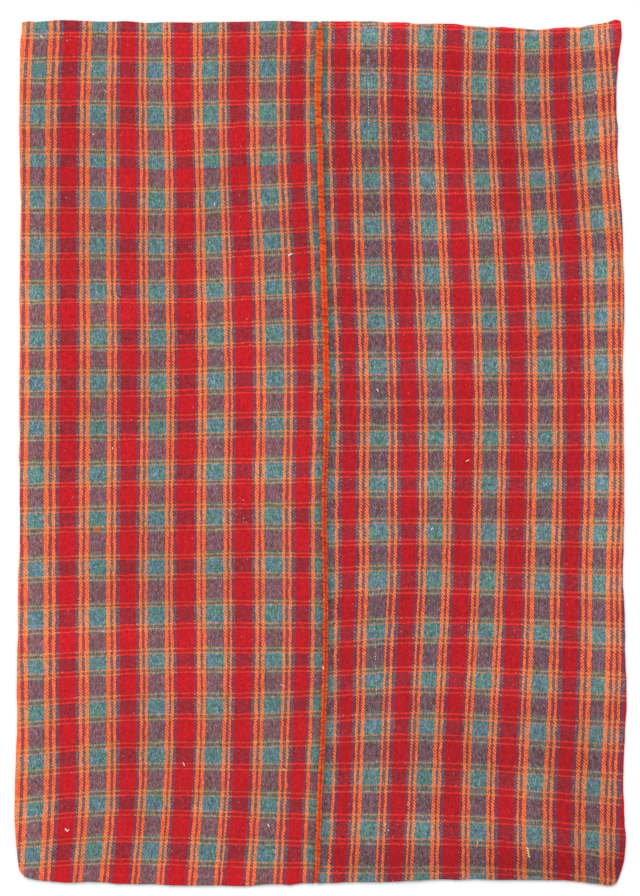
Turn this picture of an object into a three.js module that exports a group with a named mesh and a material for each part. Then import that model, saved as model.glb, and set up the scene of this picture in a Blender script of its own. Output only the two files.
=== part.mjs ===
import * as THREE from 'three';

// A jajim blanket: two handwoven wool strips laid side by side and joined down
// the middle by a whipped seam. It lies flat, face up, on the ground plane z = 0.
// Millimetres, +Z up, +Y towards the end with the pointed corner.

// ---- driving dimensions -----------------------------------------------------
const CLOTH = 1.8;        // thickness of one layer of the twill
const HEM = 15;           // depth of the turned-under hem at both ends
const SELVEDGE = 10;      // depth by which the outer selvedges are turned under
const TURN_EASE = 8;      // width over which a turned edge eases down to one layer
const EDGE_ROUND = 1.2;   // how far the rounded fold of an edge draws in
const GAP = 0.35;         // between a strip and the seam
const SEAM_HIGH = 3.4;    // height of the whipped seam
const SETTLE = 0.45;      // undulation lower than this lies flat on the ground
const EDGE_CALM = 45;     // undulation dies out over this distance from an edge

// Grid lines: fine beside the edges, even between
const CELLS_ACROSS = 13;  // even cells across a strip
const CELLS_ALONG = 40;   // even cells along it
const EDGE_LINES = [EDGE_ROUND, HEM - 3, HEM + TURN_EASE];

// ---- outline, one row a station, in mm --------------------------------------
// Outer side of the left strip, foot to head
const LEFT_SIDE = [
  { x: -625, y: -862 }, { x: -631, y: -825 }, { x: -635, y: -762 }, { x: -635, y: -700 },
  { x: -632, y: -610 }, { x: -630, y: -500 }, { x: -627, y: -389 }, { x: -628, y: -285 },
  { x: -625, y: -160 }, { x: -624, y: -57 }, { x: -625, y: 130 }, { x: -625, y: 316 },
  { x: -622, y: 440 }, { x: -622, y: 523 }, { x: -624, y: 640 }, { x: -625, y: 814 },
  { x: -622, y: 860 }, { x: -616, y: 890 },
];
// Outer side of the right strip, foot to head
const RIGHT_SIDE = [
  { x: 615, y: -889 }, { x: 621, y: -874 }, { x: 630, y: -845 }, { x: 635, y: -804 },
  { x: 632, y: -767 }, { x: 629, y: -690 }, { x: 630, y: -628 }, { x: 635, y: -540 },
  { x: 635, y: -470 }, { x: 632, y: -358 }, { x: 629, y: -260 }, { x: 630, y: -57 },
  { x: 629, y: 150 }, { x: 630, y: 316 }, { x: 627, y: 440 }, { x: 621, y: 544 },
  { x: 616, y: 620 }, { x: 616, y: 700 }, { x: 618, y: 800 }, { x: 625, y: 858 },
  { x: 622, y: 896 },
];
// Middle line of the seam, foot to head, with its width there
const SEAM_LINE = [
  { x: -9, y: -892, wide: 6 }, { x: -7, y: -849, wide: 6 }, { x: -4, y: -766, wide: 6 },
  { x: -1, y: -683, wide: 5 }, { x: 4, y: -600, wide: 5 }, { x: 7, y: -517, wide: 5 },
  { x: 10, y: -392, wide: 5 }, { x: 10, y: -300, wide: 5 }, { x: 8, y: -185, wide: 5 },
  { x: 8, y: -60, wide: 5 }, { x: 13, y: 64, wide: 5 }, { x: 12, y: 188, wide: 6 },
  { x: 9, y: 313, wide: 6 }, { x: 5, y: 437, wide: 7 }, { x: 1, y: 524, wide: 7 },
  { x: -1, y: 645, wide: 7 }, { x: -5, y: 732, wide: 7 }, { x: -2, y: 811, wide: 7 },
  { x: -1, y: 894, wide: 6 },
];
// Foot end of the left strip, outer corner to seam, then the right strip's, seam to outer corner
const LEFT_FOOT = [
  { x: -625, y: -862 }, { x: -617, y: -874 }, { x: -601, y: -883 }, { x: -583, y: -887 },
  { x: -540, y: -890 }, { x: -435, y: -893 }, { x: -321, y: -897 }, { x: -240, y: -898 },
  { x: -166, y: -900 }, { x: -110, y: -896 }, { x: -62, y: -896 }, { x: -9, y: -892 },
];
const RIGHT_FOOT = [
  { x: -9, y: -892 }, { x: 62, y: -890 }, { x: 125, y: -891 }, { x: 208, y: -888 },
  { x: 290, y: -886 }, { x: 456, y: -886 }, { x: 508, y: -888 }, { x: 550, y: -892 },
  { x: 581, y: -896 }, { x: 600, y: -898 }, { x: 609, y: -895 }, { x: 615, y: -889 },
];
// Head end, likewise; the right strip's runs up into its pointed corner
const LEFT_HEAD = [
  { x: -616, y: 890 }, { x: -600, y: 895 }, { x: -518, y: 898 }, { x: -456, y: 896 },
  { x: -384, y: 894 }, { x: -300, y: 894 }, { x: -207, y: 894 }, { x: -145, y: 896 },
  { x: -70, y: 897 }, { x: -1, y: 894 },
];
const RIGHT_HEAD = [
  { x: -1, y: 894 }, { x: 60, y: 897 }, { x: 120, y: 895 }, { x: 208, y: 890 },
  { x: 270, y: 891 }, { x: 332, y: 886 }, { x: 373, y: 884 }, { x: 456, y: 878 },
  { x: 498, y: 881 }, { x: 545, y: 885 }, { x: 585, y: 892 }, { x: 608, y: 900 },
  { x: 622, y: 896 },
];

// ---- undulation, one row a soft ridge ---------------------------------------
// x, y middle; len, wid half-length and half-width; turn in degrees from +X; high in mm
const RIDGES = [
  { x: -540, y: 730, len: 120, wid: 45, turn: 90, high: 2.6 },
  { x: -395, y: 700, len: 150, wid: 40, turn: 93, high: 3.0 },
  { x: -241, y: 650, len: 130, wid: 27, turn: 84, high: 3.2 },
  { x: -170, y: 640, len: 110, wid: 26, turn: 82, high: 2.6 },
  { x: -129, y: 470, len: 75, wid: 36, turn: 20, high: 3.2 },
  { x: -353, y: 255, len: 150, wid: 50, turn: 75, high: 3.2 },
  { x: -540, y: 110, len: 190, wid: 45, turn: 96, high: 2.6 },
  { x: -330, y: 8, len: 120, wid: 30, turn: 4, high: 2.8 },
  { x: -110, y: -396, len: 140, wid: 28, turn: 70, high: 3.2 },
  { x: -205, y: -340, len: 120, wid: 28, turn: 72, high: 2.6 },
  { x: -457, y: -388, len: 170, wid: 50, turn: 85, high: 3.0 },
  { x: -250, y: -678, len: 150, wid: 45, turn: 20, high: 3.0 },
  { x: -510, y: -700, len: 120, wid: 45, turn: 60, high: 3.0 },
  { x: 337, y: 740, len: 130, wid: 28, turn: 88, high: 3.4 },
  { x: 190, y: 690, len: 120, wid: 45, turn: 20, high: 3.0 },
  { x: 470, y: 568, len: 110, wid: 30, turn: 8, high: 3.6 },
  { x: 322, y: 400, len: 200, wid: 35, turn: 92, high: 3.0 },
  { x: 499, y: 309, len: 80, wid: 40, turn: 15, high: 3.4 },
  { x: 115, y: 122, len: 100, wid: 30, turn: 88, high: 3.0 },
  { x: 260, y: -56, len: 160, wid: 50, turn: 30, high: 2.6 },
  { x: 115, y: -355, len: 120, wid: 30, turn: 92, high: 3.0 },
  { x: 451, y: -440, len: 210, wid: 38, turn: 91, high: 3.0 },
  { x: 545, y: -560, len: 70, wid: 42, turn: 10, high: 3.4 },
  { x: 269, y: -640, len: 240, wid: 34, turn: 3, high: 3.2 },
  { x: 300, y: -770, len: 220, wid: 30, turn: 2, high: 2.8 },
];

// ---- small helpers ----------------------------------------------------------
const lerp = (a, b, f) => a + (b - a) * f;
const clamp01 = (f) => Math.min(1, Math.max(0, f));
const smooth = (f) => { const g = clamp01(f); return g * g * (3 - 2 * g); };

// The row values of a table at a place along it, where key runs one way only
function at(table, key, place) {
  const up = table[table.length - 1][key] > table[0][key];
  let i = 1;
  while (i < table.length - 1 && (up ? table[i][key] < place : table[i][key] > place)) i += 1;
  const a = table[i - 1];
  const b = table[i];
  const f = clamp01((place - a[key]) / (b[key] - a[key]));
  const found = {};
  for (const name of Object.keys(a)) found[name] = lerp(a[name], b[name], f);
  return found;
}

// A point at a share of the way along a table, by its running column
function along(table, key, share) {
  const first = table[0][key];
  const last = table[table.length - 1][key];
  return at(table, key, lerp(first, last, share));
}

// Side of a strip that faces the seam: the seam's middle line, moved aside
function seamSide(share, way) {
  const p = along(SEAM_LINE, 'y', share);
  return { x: p.x + way * (p.wide / 2 + GAP), y: p.y };
}

// Height of the undulation, before the calming beside the edges
function ridgesAt(x, y) {
  let sum = 0;
  for (const r of RIDGES) {
    const a = THREE.MathUtils.degToRad(r.turn);
    const dx = x - r.x;
    const dy = y - r.y;
    const on = dx * Math.cos(a) + dy * Math.sin(a);
    const off = -dx * Math.sin(a) + dy * Math.cos(a);
    sum += r.high * Math.exp(-((on / r.len) ** 2) - (off / r.wid) ** 2);
  }
  return Math.max(0, sum - SETTLE);
}

// ---- one woven strip --------------------------------------------------------
// sides: from and to run foot to head, foot and head run between them
function stripGeometry({ from, to, foot, head, fromSelvedge, toSelvedge }) {
  const width = 625;
  const length = 1780;

  // A point of the strip (s across, t along): between its two sides, with the
  // bow of each end off its own chord fading towards the other end
  const bow = (end, s, k) => end(s)[k] - lerp(end(0)[k], end(1)[k], s);
  function place(s, t) {
    const a = from(t);
    const b = to(t);
    const mix = (k) => lerp(a[k], b[k], s) + (1 - t) * bow(foot, s, k) + t * bow(head, s, k);
    return { x: mix('x'), y: mix('y') };
  }

  const lines = (size, cells) => {
    const near = EDGE_LINES.map((d) => d / size);
    const inner = near[near.length - 1];
    const out = [...near];
    for (let i = 1; i < cells; i += 1) out.push(lerp(inner, 1 - inner, i / cells));
    for (const d of [...near].reverse()) out.push(1 - d);
    return out;
  };
  const sLines = lines(width, CELLS_ACROSS);
  const tLines = lines(length, CELLS_ALONG);

  // Two layers where the edge is turned under, one elsewhere
  function thickness(s, t) {
    const end = Math.min(t, 1 - t) * length;
    const turned = [1 - smooth((end - HEM) / TURN_EASE)];
    if (fromSelvedge) turned.push(1 - smooth((s * width - SELVEDGE) / TURN_EASE));
    if (toSelvedge) turned.push(1 - smooth(((1 - s) * width - SELVEDGE) / TURN_EASE));
    return CLOTH * (1 + 0.9 * Math.max(...turned));
  }
  function lift(s, t) {
    const near = Math.min(s * width, (1 - s) * width, t * length, (1 - t) * length);
    const p = place(s, t);
    return ridgesAt(p.x, p.y) * smooth((near - 22) / EDGE_CALM);
  }

  const nS = sLines.length;
  const nT = tLines.length;
  const points = [];
  const add = (p, z) => { points.push(p.x, p.y, z); return points.length / 3 - 1; };
  const top = [];
  const under = [];
  for (let j = 0; j < nT; j += 1) {
    top.push([]);
    under.push([]);
    for (let i = 0; i < nS; i += 1) {
      const [s, t] = [sLines[i], tLines[j]];
      const p = place(s, t);
      const z = lift(s, t);
      top[j].push(add(p, z + thickness(s, t)));
      under[j].push(add(p, z));
    }
  }

  const index = [];
  const quad = (a, b, c, d) => index.push(a, b, c, a, c, d);
  for (let j = 0; j < nT - 1; j += 1) {
    for (let i = 0; i < nS - 1; i += 1) {
      quad(top[j][i], top[j][i + 1], top[j + 1][i + 1], top[j + 1][i]);
      quad(under[j][i], under[j + 1][i], under[j + 1][i + 1], under[j][i + 1]);
    }
  }

  // The rounded edge: a ring on the outline at half height, all the way round
  const ring = [];
  for (let i = 0; i < nS; i += 1) ring.push([i, 0]);
  for (let j = 1; j < nT; j += 1) ring.push([nS - 1, j]);
  for (let i = nS - 2; i >= 0; i -= 1) ring.push([i, nT - 1]);
  for (let j = nT - 2; j >= 1; j -= 1) ring.push([0, j]);
  const snap = (k, n, lines1) => (k === 0 ? 0 : k === n - 1 ? 1 : lines1[k]);
  const middle = ring.map(([i, j]) => {
    const s = snap(i, nS, sLines);
    const t = snap(j, nT, tLines);
    return add(place(s, t), 0.5 * thickness(s, t));
  });
  ring.forEach(([i, j], k) => {
    const next = (k + 1) % ring.length;
    const [i2, j2] = ring[next];
    quad(under[j][i], under[j2][i2], middle[next], middle[k]);
    quad(middle[k], middle[next], top[j2][i2], top[j][i]);
  });

  const geometry = new THREE.BufferGeometry();
  geometry.setAttribute('position', new THREE.Float32BufferAttribute(points, 3));
  geometry.setIndex(index);
  geometry.computeVertexNormals();
  return { geometry, tLines };
}

// ---- the whipped seam -------------------------------------------------------
// One low ridge with a flat foot, its sections at the strips' own grid lines
function seamGeometry(tLines) {
  const stations = [0, ...tLines, 1];
  const points = [];
  const sections = stations.map((t) => {
    const p = along(SEAM_LINE, 'y', t);
    const half = p.wide / 2;
    const high = SEAM_HIGH * (0.9 + 0.1 * (p.wide / 7));
    const profile = [
      [-half, 0], [half, 0], [half, 0.5 * high], [0.55 * half, high],
      [-0.55 * half, high], [-half, 0.5 * high],
    ];
    return profile.map(([dx, z]) => { points.push(p.x + dx, p.y, z); return points.length / 3 - 1; });
  });
  const index = [];
  const n = sections[0].length;
  for (let k = 0; k < sections.length - 1; k += 1) {
    for (let i = 0; i < n; i += 1) {
      const a = sections[k][i];
      const b = sections[k][(i + 1) % n];
      const c = sections[k + 1][(i + 1) % n];
      const d = sections[k + 1][i];
      index.push(a, c, b, a, d, c);
    }
  }
  const first = sections[0];
  const last = sections[sections.length - 1];
  for (let i = 1; i < n - 1; i += 1) {
    index.push(first[0], first[i], first[i + 1]);
    index.push(last[0], last[i + 1], last[i]);
  }
  const geometry = new THREE.BufferGeometry();
  geometry.setAttribute('position', new THREE.Float32BufferAttribute(points, 3));
  geometry.setIndex(index);
  geometry.computeVertexNormals();
  return geometry;
}

// ---- assembly ---------------------------------------------------------------
const wool = (name) => new THREE.MeshStandardMaterial({
  name, color: new THREE.Color('#a95a51'), roughness: 0.95, metalness: 0,
});
const seamThread = new THREE.MeshStandardMaterial({
  name: 'seam thread', color: new THREE.Color('#f0500f'), roughness: 0.9, metalness: 0,
});

const left = stripGeometry({
  from: (t) => along(LEFT_SIDE, 'y', t),
  to: (t) => seamSide(t, -1),
  foot: (s) => along(LEFT_FOOT, 'x', s),
  head: (s) => along(LEFT_HEAD, 'x', s),
  fromSelvedge: true,
  toSelvedge: false,
});
const right = stripGeometry({
  from: (t) => seamSide(t, 1),
  to: (t) => along(RIGHT_SIDE, 'y', t),
  foot: (s) => along(RIGHT_FOOT, 'x', s),
  head: (s) => along(RIGHT_HEAD, 'x', s),
  fromSelvedge: false,
  toSelvedge: true,
});

const group = new THREE.Group();
const panelLeft = new THREE.Mesh(left.geometry, wool('wool twill, left strip'));
panelLeft.name = 'panel_left';
const panelRight = new THREE.Mesh(right.geometry, wool('wool twill, right strip'));
panelRight.name = 'panel_right';
const joinSeam = new THREE.Mesh(seamGeometry(left.tLines), seamThread);
joinSeam.name = 'join_seam';
group.add(panelLeft, panelRight, joinSeam);

export default group;
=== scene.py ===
import math

import bpy
import numpy as np
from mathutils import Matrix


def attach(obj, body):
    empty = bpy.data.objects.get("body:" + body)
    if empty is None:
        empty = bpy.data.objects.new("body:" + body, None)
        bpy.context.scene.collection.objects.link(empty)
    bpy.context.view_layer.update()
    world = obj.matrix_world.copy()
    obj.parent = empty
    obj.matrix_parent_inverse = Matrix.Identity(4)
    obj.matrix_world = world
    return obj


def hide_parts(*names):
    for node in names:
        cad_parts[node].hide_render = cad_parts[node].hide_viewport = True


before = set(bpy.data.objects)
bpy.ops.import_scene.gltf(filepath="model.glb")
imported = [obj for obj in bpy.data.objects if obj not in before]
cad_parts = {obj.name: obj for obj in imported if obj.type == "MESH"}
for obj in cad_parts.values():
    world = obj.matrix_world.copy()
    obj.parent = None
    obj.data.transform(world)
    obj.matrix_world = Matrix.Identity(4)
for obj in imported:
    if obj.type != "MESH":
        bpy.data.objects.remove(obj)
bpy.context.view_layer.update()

MM = 0.001
PI = math.pi

# A jajim blanket laid flat and face up: two handwoven wool strips, checked in
# red, teal, orange and navy, joined down the middle by a raised whipped seam.
# Lengths are in millimetres until the meshes are made. +Y is the head end.

# ---- sizes, as in the construction -------------------------------------------
CLOTH = 1.8          # thickness of one layer of the twill
HEM = 15.0           # depth of the turned-under hem at both ends
SELVEDGE = 10.0      # depth by which the outer selvedges are turned under
TURN_EASE = 8.0      # width over which a turned edge eases down to one layer
GAP = 0.35           # between a strip and the seam
SETTLE = 0.45        # undulation lower than this lies flat on the ground
EDGE_CALM = 45.0     # undulation dies out over this distance from an edge
STRIP_WIDE = 625.0
STRIP_LONG = 1780.0

# Grid lines of a strip: these distances from every edge, then even cells
NEAR_EDGE = [0.14, 0.5, 1.0, 1.75, 3.2, 6.0, 9.5, 10.5, 14.5, 15.5, 19.0, 23.0]
CELLS_ACROSS = 100
CELLS_ALONG = 332

# ---- outline, one row a station: x, y ----------------------------------------
LEFT_SIDE = [
    (-625, -862), (-631, -825), (-635, -762), (-635, -700), (-632, -610), (-630, -500),
    (-627, -389), (-628, -285), (-625, -160), (-624, -57), (-625, 130), (-625, 316),
    (-622, 440), (-622, 523), (-624, 640), (-625, 814), (-622, 860), (-616, 890),
]
RIGHT_SIDE = [
    (615, -889), (621, -874), (630, -845), (635, -804), (632, -767), (629, -690),
    (630, -628), (635, -540), (635, -470), (632, -358), (629, -260), (630, -57),
    (629, 150), (630, 316), (627, 440), (621, 544), (616, 620), (616, 700),
    (618, 800), (625, 858), (622, 896),
]
# x, y, width of the seam
SEAM_LINE = [
    (-9, -892, 6), (-7, -849, 6), (-4, -766, 6), (-1, -683, 5), (4, -600, 5), (7, -517, 5),
    (10, -392, 5), (10, -300, 5), (8, -185, 5), (8, -60, 5), (13, 64, 5), (12, 188, 6),
    (9, 313, 6), (5, 437, 7), (1, 524, 7), (-1, 645, 7), (-5, 732, 7), (-2, 811, 7),
    (-1, 894, 6),
]
LEFT_FOOT = [
    (-625, -862), (-617, -874), (-601, -883), (-583, -887), (-540, -890), (-435, -893),
    (-321, -897), (-240, -898), (-166, -900), (-110, -896), (-62, -896), (-9, -892),
]
RIGHT_FOOT = [
    (-9, -892), (62, -890), (125, -891), (208, -888), (290, -886), (456, -886),
    (508, -888), (550, -892), (581, -896), (600, -898), (609, -895), (615, -889),
]
LEFT_HEAD = [
    (-616, 890), (-600, 895), (-518, 898), (-456, 896), (-384, 894), (-300, 894),
    (-207, 894), (-145, 896), (-70, 897), (-1, 894),
]
RIGHT_HEAD = [
    (-1, 894), (60, 897), (120, 895), (208, 890), (270, 891), (332, 886), (373, 884),
    (456, 878), (498, 881), (545, 885), (585, 892), (608, 900), (622, 896),
]

# ---- how each edge runs in and out of its line, mm: place along it, offset ----
HEAD_TRIM = [   # x, up
    (-619, 3.3), (-602, 0.8), (-590, -2.9), (-580, -4.1), (-567, -3.7), (-553, -1.9), (-532, -0.4),
    (-482, -0.8), (-463, -1.5), (-420, -0.4), (-405, 1.5), (-389, 0.8), (-362, -1.9), (-333, -0.6),
    (-258, -1.0), (-221, 0.0), (-183, 0.0), (-152, -1.2), (-78, -1.0), (-34, -1.2), (-1, 1.2), (16, 0.4),
    (34, -1.5), (90, -1.7), (105, -0.2), (136, -1.5), (153, 0.6), (177, 1.7), (192, -0.6), (215, 0.0),
    (252, -1.2), (279, -0.4), (302, -2.9), (325, -1.2), (347, -2.5), (379, -0.8), (397, -0.6), (418, 1.0),
    (455, 0.0), (484, 1.7), (513, 1.0), (538, -1.2), (563, 1.5), (586, -1.2), (601, -4.8), (613, -0.4),
]
FOOT_TRIM = [   # x, up
    (-615, -0.6), (-565, 0.6), (-528, -1.2), (-503, 0.0), (-482, 2.3), (-461, 1.9), (-441, 1.5),
    (-424, -0.4), (-378, 0.4), (-354, 1.5), (-329, 1.7), (-308, 0.0), (-254, 0.0), (-221, 1.7), (-200, 1.9),
    (-175, 1.0), (-142, 0.0), (-105, 1.2), (-88, 1.5), (-63, -0.6), (-42, 1.7), (-28, 1.0), (-5, -0.8),
    (45, -0.8), (119, 0.4), (165, 0.2), (182, 1.7), (206, 0.8), (231, 2.7), (246, 3.1), (260, 1.9),
    (281, -0.2), (302, 1.2), (323, 1.2), (343, 0.0), (381, -0.6), (422, -1.0), (489, 0.0), (505, 0.8),
    (559, -0.2), (584, 1.5), (601, 1.2), (617, -1.0),
]
LEFT_TRIM = [   # y, to the right
    (-857, 0.0), (-828, 1.2), (-778, 1.2), (-753, 0.0), (-728, 0.4), (-683, 1.5), (-654, 0.6), (-608, 0.4),
    (-579, 1.7), (-529, 1.9), (-504, 0.0), (-479, 0.0), (-434, -1.2), (-409, -1.5), (-380, 0.0),
    (-330, 0.0), (-264, 0.4), (-235, 1.2), (-206, 1.9), (-168, 2.1), (-131, 1.5), (-106, -0.2), (-81, -0.4),
    (-31, 0.6), (-7, -0.8), (43, 0.6), (168, 0.2), (213, 1.2), (238, 2.1), (263, 2.7), (292, 1.2),
    (317, 0.6), (367, 0.8), (392, -0.2), (417, -0.8), (466, -0.6), (516, 0.6), (541, -0.6), (607, 0.4),
    (641, -0.2), (678, 0.0), (715, 1.5), (740, 2.1), (765, 3.7), (790, 2.5), (815, 1.5), (840, 0.0),
    (869, 0.8), (889, -2.3),
]
RIGHT_TRIM = [   # y, to the right
    (-849, 0.0), (-824, -1.9), (-774, -1.7), (-724, -0.4), (-699, -1.7), (-674, -1.2), (-649, 0.0),
    (-600, -0.4), (-575, -1.9), (-550, -1.9), (-525, -0.4), (-475, -0.4), (-450, -1.9), (-401, -2.1),
    (-376, -0.2), (-305, -0.6), (-276, -1.5), (-251, -1.9), (-226, -1.5), (-201, -0.2), (-177, -1.0),
    (-127, 0.0), (47, -0.6), (147, -0.6), (172, -2.3), (197, -2.3), (222, -1.5), (271, -0.2), (321, 0.6),
    (371, -0.4), (396, -1.2), (421, 0.0), (470, 0.8), (495, 1.7), (520, 1.0), (545, 0.0), (595, -0.6),
    (645, 0.6), (674, 1.2), (694, -2.1), (769, -2.5), (794, -0.6), (819, -2.3), (844, -2.7), (869, 0.0),
    (894, 0.8),
]

# ---- undulation: x, y, half-length, half-width, turn in degrees from +X, height ----
RIDGES = [
    (-540, 730, 120, 45, 90, 2.6), (-395, 700, 150, 40, 93, 3.0), (-241, 650, 130, 27, 84, 3.2),
    (-170, 640, 110, 26, 82, 2.6), (-129, 470, 75, 36, 20, 3.2), (-353, 255, 150, 50, 75, 3.2),
    (-540, 110, 190, 45, 96, 2.6), (-330, 8, 120, 30, 4, 2.8), (-110, -396, 140, 28, 70, 3.2),
    (-205, -340, 120, 28, 72, 2.6), (-457, -388, 170, 50, 85, 3.0), (-250, -678, 150, 45, 20, 3.0),
    (-510, -700, 120, 45, 60, 3.0), (337, 740, 130, 28, 88, 3.4), (190, 690, 120, 45, 20, 3.0),
    (470, 568, 110, 30, 8, 3.6), (322, 400, 200, 35, 92, 3.0), (499, 309, 80, 40, 15, 3.4),
    (115, 122, 100, 30, 88, 3.0), (260, -56, 160, 50, 30, 2.6), (115, -355, 120, 30, 92, 3.0),
    (451, -440, 210, 38, 91, 3.0), (545, -560, 70, 42, 10, 3.4), (269, -640, 240, 34, 3, 3.2),
    (300, -770, 220, 30, 2, 2.8),
]

# ---- painted light and shade, lighter and darker patches: x, y, half-width, half-height, change ----
LIGHT_AND_SHADE_PATCHES = [
    (-619, 6, 40, 5185, 0.16),
    (-1, 894, 5185, 46, 0.08),
    (372, 889, 228, 46, 0.15),
    (588, 889, 41, 54, 0.12),
    (-9, 379, 35, 311, -0.10),
    (-9, -450, 35, 228, -0.10),
    (279, 462, 145, 62, 0.11),
    (248, 209, 114, 62, 0.09),
    (401, 628, 114, 87, -0.12),
    (476, 296, 87, 58, -0.09),
    (592, 255, 31, 622, 0.13),
    (414, -297, 187, 62, 0.07),
    (528, -596, 71, 114, -0.18),
    (300, -606, 124, 75, -0.08),
    (435, -861, 187, 46, -0.26),
    (165, -865, 104, 41, -0.14),
    (617, -844, 25, 50, -0.20),
    (-146, -699, 93, 62, -0.07),
    (-383, 110, 124, 62, -0.05),
    (-115, -36, 104, 41, 0.07),
    (580, 317, 15, 415, 0.06),
    (103, -388, 83, 83, -0.06),
    (140, 885, 54, 41, 0.20),
    (61, 885, 33, 41, 0.10),
    (-308, 794, 50, 124, 0.13),
    (-478, 300, 166, 37, 0.11),
    (-436, -363, 166, 37, 0.10),
    (-188, -31, 228, 33, 0.08),
    (-308, 885, 145, 33, 0.06),
    (289, -284, 54, 54, 0.07),
    (588, -181, 25, 270, 0.07),
    (289, 317, 62, 166, 0.08),
    (588, 815, 33, 104, 0.10),
    (522, -761, 50, 91, -0.08),
    (-607, 300, 21, 62, 0.08),
    (165, 27, 62, 62, 0.06),
    (-84, -98, 62, 415, 0.03),
    (140, 889, 62, 33, 0.12),
    (513, 889, 83, 37, 0.13),
    (-607, 255, 25, 83, 0.08),
    (-607, 6, 25, 83, 0.08),
    (-84, -596, 62, 124, -0.08),
    (580, -689, 54, 83, -0.09),
    (92, -861, 83, 33, -0.09),
    (518, -869, 50, 29, -0.12),
    (-1, 889, 41, 29, 0.08),
    (580, -56, 29, 124, 0.07),
    (-478, -388, 145, 41, 0.06),
    (549, -471, 62, 52, 0.08),
    (248, 213, 62, 52, 0.06),
]

# ---- how the threads run ------------------------------------------------------
# Warp lean and weft bow: how far a thread's own place on the loom lies from
# where it lies now, at stations across (columns) and along the strip (rows).
DRIFT_ROWS = [894, 731, 569, 407, 245, 83, -79, -241, -404, -566, -728, -890]
LEFT_COLUMNS = [-630, -473, -316, -159, -2]
RIGHT_COLUMNS = [12, 165, 318, 471, 624]
LEFT_LEAN = [
    (-12.3, -6.1, 4.0, 6.5, 4.8), (-3.8, -1.5, 2.4, 7.8, 6.8), (-3.1, -0.4, -1.5, 5.0, 4.7),
    (-1.8, -0.2, -1.3, -1.7, -3.0), (-1.2, -1.6, -3.7, -5.0, -8.7), (0.3, -1.4, -3.5, -6.4, -8.2),
    (2.5, -0.4, -1.9, -3.7, -4.4), (1.8, 0.6, -0.6, -3.8, -4.3), (2.2, 0.3, -1.3, -4.4, -3.4),
    (0.3, 0.2, -2.0, -1.7, 1.7), (3.4, 0.7, 4.2, 4.1, 9.4), (9.7, 15.0, 17.4, 15.9, 13.8),
]
LEFT_BOW = [
    (4.0, -0.7, 0.9, -0.4, -3.8), (1.4, -0.1, 3.0, -1.8, -4.5), (0.2, 0.6, 4.5, -1.7, -9.4),
    (4.0, 2.1, 3.5, -2.3, -12.3), (5.6, 2.4, 2.4, -3.4, -8.3), (4.3, 2.9, 1.8, -3.9, -5.8),
    (6.5, 2.7, -0.4, -2.7, -6.1), (7.1, 1.8, 0.3, -4.0, -2.8), (11.2, 3.8, -3.0, -4.4, -4.4),
    (15.3, 3.1, -2.8, -3.3, -9.2), (13.3, -2.4, -4.2, -0.8, 4.4), (3.6, -4.4, -1.7, 3.4, 3.8),
]
RIGHT_LEAN = [
    (8.9, 9.0, 7.4, 17.8, 24.5), (10.3, 10.0, 10.3, 15.5, 11.8), (5.6, 5.2, 5.0, 5.5, 5.6),
    (1.0, -0.3, -4.4, -5.0, -6.9), (-5.3, -6.8, -10.6, -10.2, -7.8), (-8.0, -11.2, -13.3, -11.5, -10.5),
    (-3.8, -11.1, -10.8, -10.0, -10.1), (-4.4, -10.2, -7.5, -6.2, -3.7), (-2.7, -2.9, -1.2, -3.3, -4.0),
    (-3.0, 4.1, 7.9, 2.3, 0.8), (1.7, 11.6, 13.1, 10.0, 7.4), (12.8, 18.1, 13.7, 9.1, 10.0),
]
RIGHT_BOW = [
    (-4.5, -4.5, 0.9, 6.6, -5.2), (-4.9, -2.9, 3.7, 5.2, -12.8), (4.1, 1.9, 3.1, -1.1, -18.7),
    (1.8, 4.0, 1.9, -2.4, -10.1), (3.5, 2.2, 0.8, -1.7, -6.6), (1.2, 1.2, -0.5, -0.5, -1.3),
    (1.4, -0.7, -0.3, 0.6, -0.7), (1.6, -4.1, -1.3, 2.2, 6.1), (6.1, -4.3, -3.8, 2.0, 9.1),
    (-0.2, -7.0, -3.1, 5.7, 12.3), (-7.2, -6.9, -2.8, 7.4, 20.0), (-5.4, -4.3, -5.0, 4.8, 24.5),
]

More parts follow.
